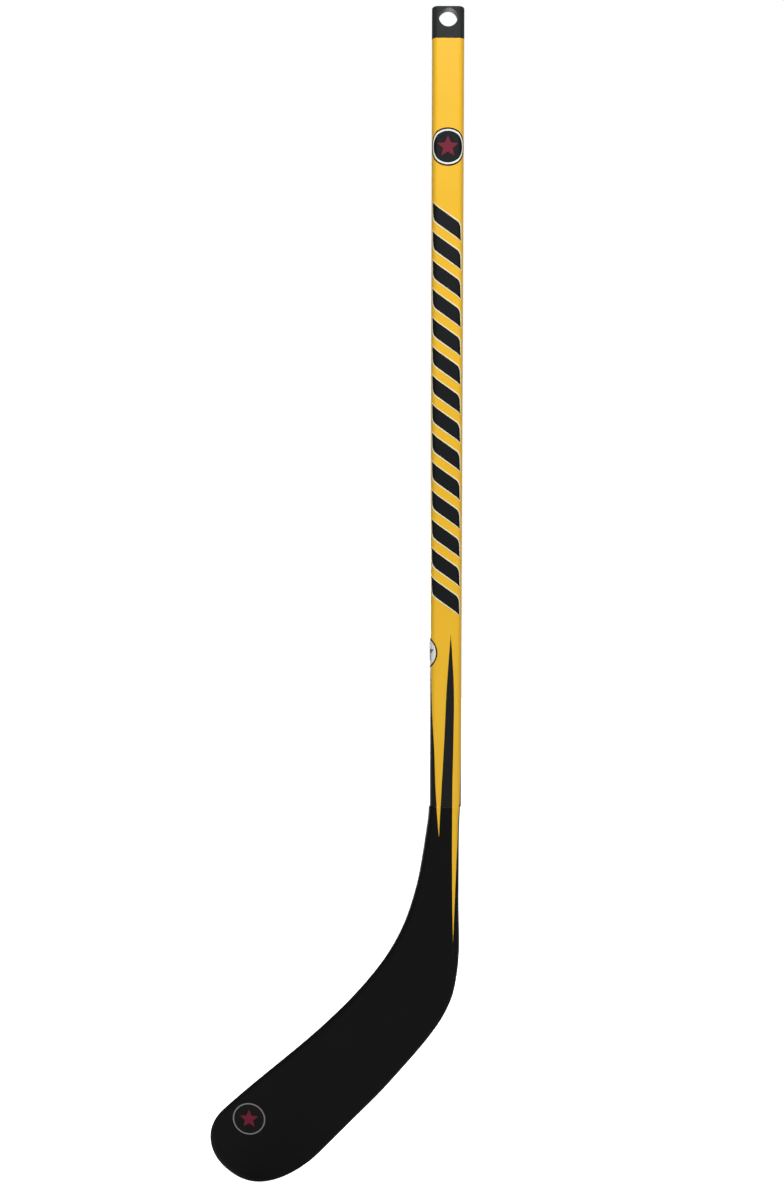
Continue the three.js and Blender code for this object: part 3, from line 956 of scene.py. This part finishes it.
for face_name, direction in BACKWARDS.items():
    badge = round_pattern(BLADE_BADGE_RADIUS, [0.15 * MM, 0.6 * MM], 4.4 * MM, BLADE_BADGE_SPOT)
    cuts = spread(BLADE_BADGE_RADIUS, BLADE_STRIPS, BLADE_BADGE_SPOT[0])
    badge = lay_film(badge, on_blade(direction), cuts)
    inks = [ink_deep_black, ink_grey, ink_deep_black, ink_red]
    make_piece(f"printed_blade_badge_{face_name}", badge, inks, [f"blade_badge_{face_name}"])

# %% [markdown]
# ## The printed band
#
# Where a maker prints a name along the shaft, this one has a plain pattern: slanted black bars with a cream
# line round each. A bar is a square, stretched and sheared. Two of its corners are rounded by bevelling the
# vertices, and insetting it draws the cream line.

# %% The band
BARS, BAR_HEIGHT, PITCH = 14, 8.6 * MM, 12.9 * MM
SLANT = -0.68
BAND_HALF_WIDTH = 7.4 * MM
BAND_SHIFT = -0.55 * MM
BAND_MIDDLE = -180.6 * MM
BAND_STRIPS = 24
BAR_ROUND = 2.4 * MM
BAR_ROUND_SEGMENTS = 6
CREAM_LINE = 0.65 * MM


def add_bar(bm, middle):
    corners = bmesh.ops.create_grid(bm, x_segments=1, y_segments=1, size=1)["verts"]
    for vert in corners:
        across, along = vert.co.x * BAND_HALF_WIDTH, vert.co.y * BAR_HEIGHT / 2
        vert.co = (across, 0, middle + along + SLANT * across)
    sharp = [v for v in corners if (v.co.x > 0) == (v.co.z > middle + SLANT * v.co.x)]
    rounded = bmesh.ops.bevel(
        bm,
        geom=sharp,
        offset=BAR_ROUND,
        segments=BAR_ROUND_SEGMENTS,
        profile=0.5,
        affect="VERTICES",
        material=-1,
    )
    outline = rounded["verts"][0].link_faces[:]
    cream = bmesh.ops.inset_region(bm, faces=outline, thickness=CREAM_LINE, use_boundary=True)
    for ring_face in cream["faces"]:
        ring_face.material_index = 1


def band():
    bm = bmesh.new()
    for i in range(BARS):
        add_bar(bm, BAND_MIDDLE + PITCH * (i - (BARS - 1) / 2))
    bmesh.ops.reverse_faces(bm, faces=[f for f in bm.faces if f.normal.y < 0])
    bmesh.ops.translate(bm, vec=X_AXIS * BAND_SHIFT, verts=bm.verts)
    return lay_film(bm, on_shaft, spread(BAND_HALF_WIDTH, BAND_STRIPS, BAND_SHIFT))


for face_name in BACKWARDS:
    inks = [ink_black, ink_cream]
    stands_for = [f"shaft_band_{face_name}"]
    make_piece(f"printed_band_{face_name}", facing(face_name, band()), inks, stands_for)

# %% [markdown]
# ## Glue, core and foam
#
# Nothing inside shows while the stick is whole, but it is real: glue round the plug and the tenon, a dense
# core at the heel and foam towards the toe. All of them were poured or foamed, so one recipe serves: cells of
# the stuff's own grain, with dents as deep as the grain leaves, and two close tones laid by the same cells,
# so that the darker one sits in the bottom of each dent as painted shade.


# %% Glue, core and foam
def cast_material(name, dark, light, grain, roughness, dent):
    """Something poured or foamed: dents in cells of the grain's size, and painted shade as the darker tone in
    the dents.
    """
    material, tree, shader = new_material(name, Roughness=roughness)
    place = add_node(tree, "ShaderNodeTexCoord").outputs["Object"]
    cells = add_node(tree, "ShaderNodeTexVoronoi", {"Vector": place, "Scale": 1 / grain})
    dent_depth_and_shade = cells.outputs["Distance"]
    # One cell distance sets both the dents and the tone, so the darker tone is painted shade in each dent.
    shades = {"Factor": dent_depth_and_shade, "A": linear(dark), "B": linear(light)}
    tone = add_node(tree, "ShaderNodeMix", shades, data_type="RGBA")
    tree.links.new(tone.outputs["Result"], shader.inputs["Base Color"])
    relief = add_node(tree, "ShaderNodeBump", {"Height": dent_depth_and_shade, "Distance": dent})
    tree.links.new(relief.outputs[0], shader.inputs["Normal"])
    return material


# Hot-melt glue: milky and waxy, in soft lumps.
hot_melt = cast_material("hot_melt_glue", "#cfc5a4", "#e4dcc2", 3 * MM, 0.35, 0.05 * MM)
# Epoxy: amber, hard and glossy, nearly smooth.
epoxy = cast_material("epoxy_glue", "#b48a3c", "#cfa65a", 2 * MM, 0.25, 0.03 * MM)
# Dense polyurethane: tan and dull, with pinholes.
dense_core = cast_material("dense_polyurethane", "#84775b", "#978a6c", 0.8 * MM, 0.7, 0.04 * MM)
# Rigid foam: off-white and matt, with open cells whose shadow is painted in as the darker tone.
foam = cast_material("rigid_foam", "#e2dbc8", "#f5f0e2", 0.6 * MM, 0.9, 0.1 * MM)
print("cast materials:", hot_melt.name, epoxy.name, dense_core.name, foam.name)

# %% [markdown]
# ## Woven laminate
#
# The tenon and the rib are cured cloth that was laid on the slant. Its tows cross, and light catches those
# that run one way a little more, so a checker of two near-black greys, turned by 45 degrees, is enough. The
# shapes of the inner pieces come from the frame as they are, and each only takes its material.

# %% Woven laminate, and the inner pieces
TOW = 2 * MM
TOW_RELIEF = 0.05 * MM
CLOTH_TURN = math.radians(45)


def woven_laminate():
    """Cured carbon cloth: near black, smooth, in a slanted check of 2 mm tows."""
    material, tree, shader = new_material("woven_laminate", Roughness=0.4)
    place = add_node(tree, "ShaderNodeTexCoord").outputs["Object"]
    turned = add_node(tree, "ShaderNodeMapping", {"Vector": place, "Rotation": (0, CLOTH_TURN, 0)})
    weave = {"Vector": turned, "Color1": linear("#242426"), "Color2": linear("#303134"), "Scale": 1 / TOW}
    tows = add_node(tree, "ShaderNodeTexChecker", weave)
    tree.links.new(tows.outputs["Color"], shader.inputs["Base Color"])
    relief = add_node(tree, "ShaderNodeBump", {"Height": tows.outputs["Fac"], "Distance": TOW_RELIEF})
    tree.links.new(relief.outputs[0], shader.inputs["Normal"])
    return material


laminate = woven_laminate()
inner_finishes = {
    "cap_glue": hot_melt,
    "tenon_glue": epoxy,
    "blade_tenon": laminate,
    "blade_rib": laminate,
    "heel_core": dense_core,
    "foam_core_upper": foam,
    "foam_core_lower": foam,
}
for name, material in inner_finishes.items():
    nodes[name].data.materials.clear()
    nodes[name].data.materials.append(material)
print("inner pieces finished:", len(inner_finishes))
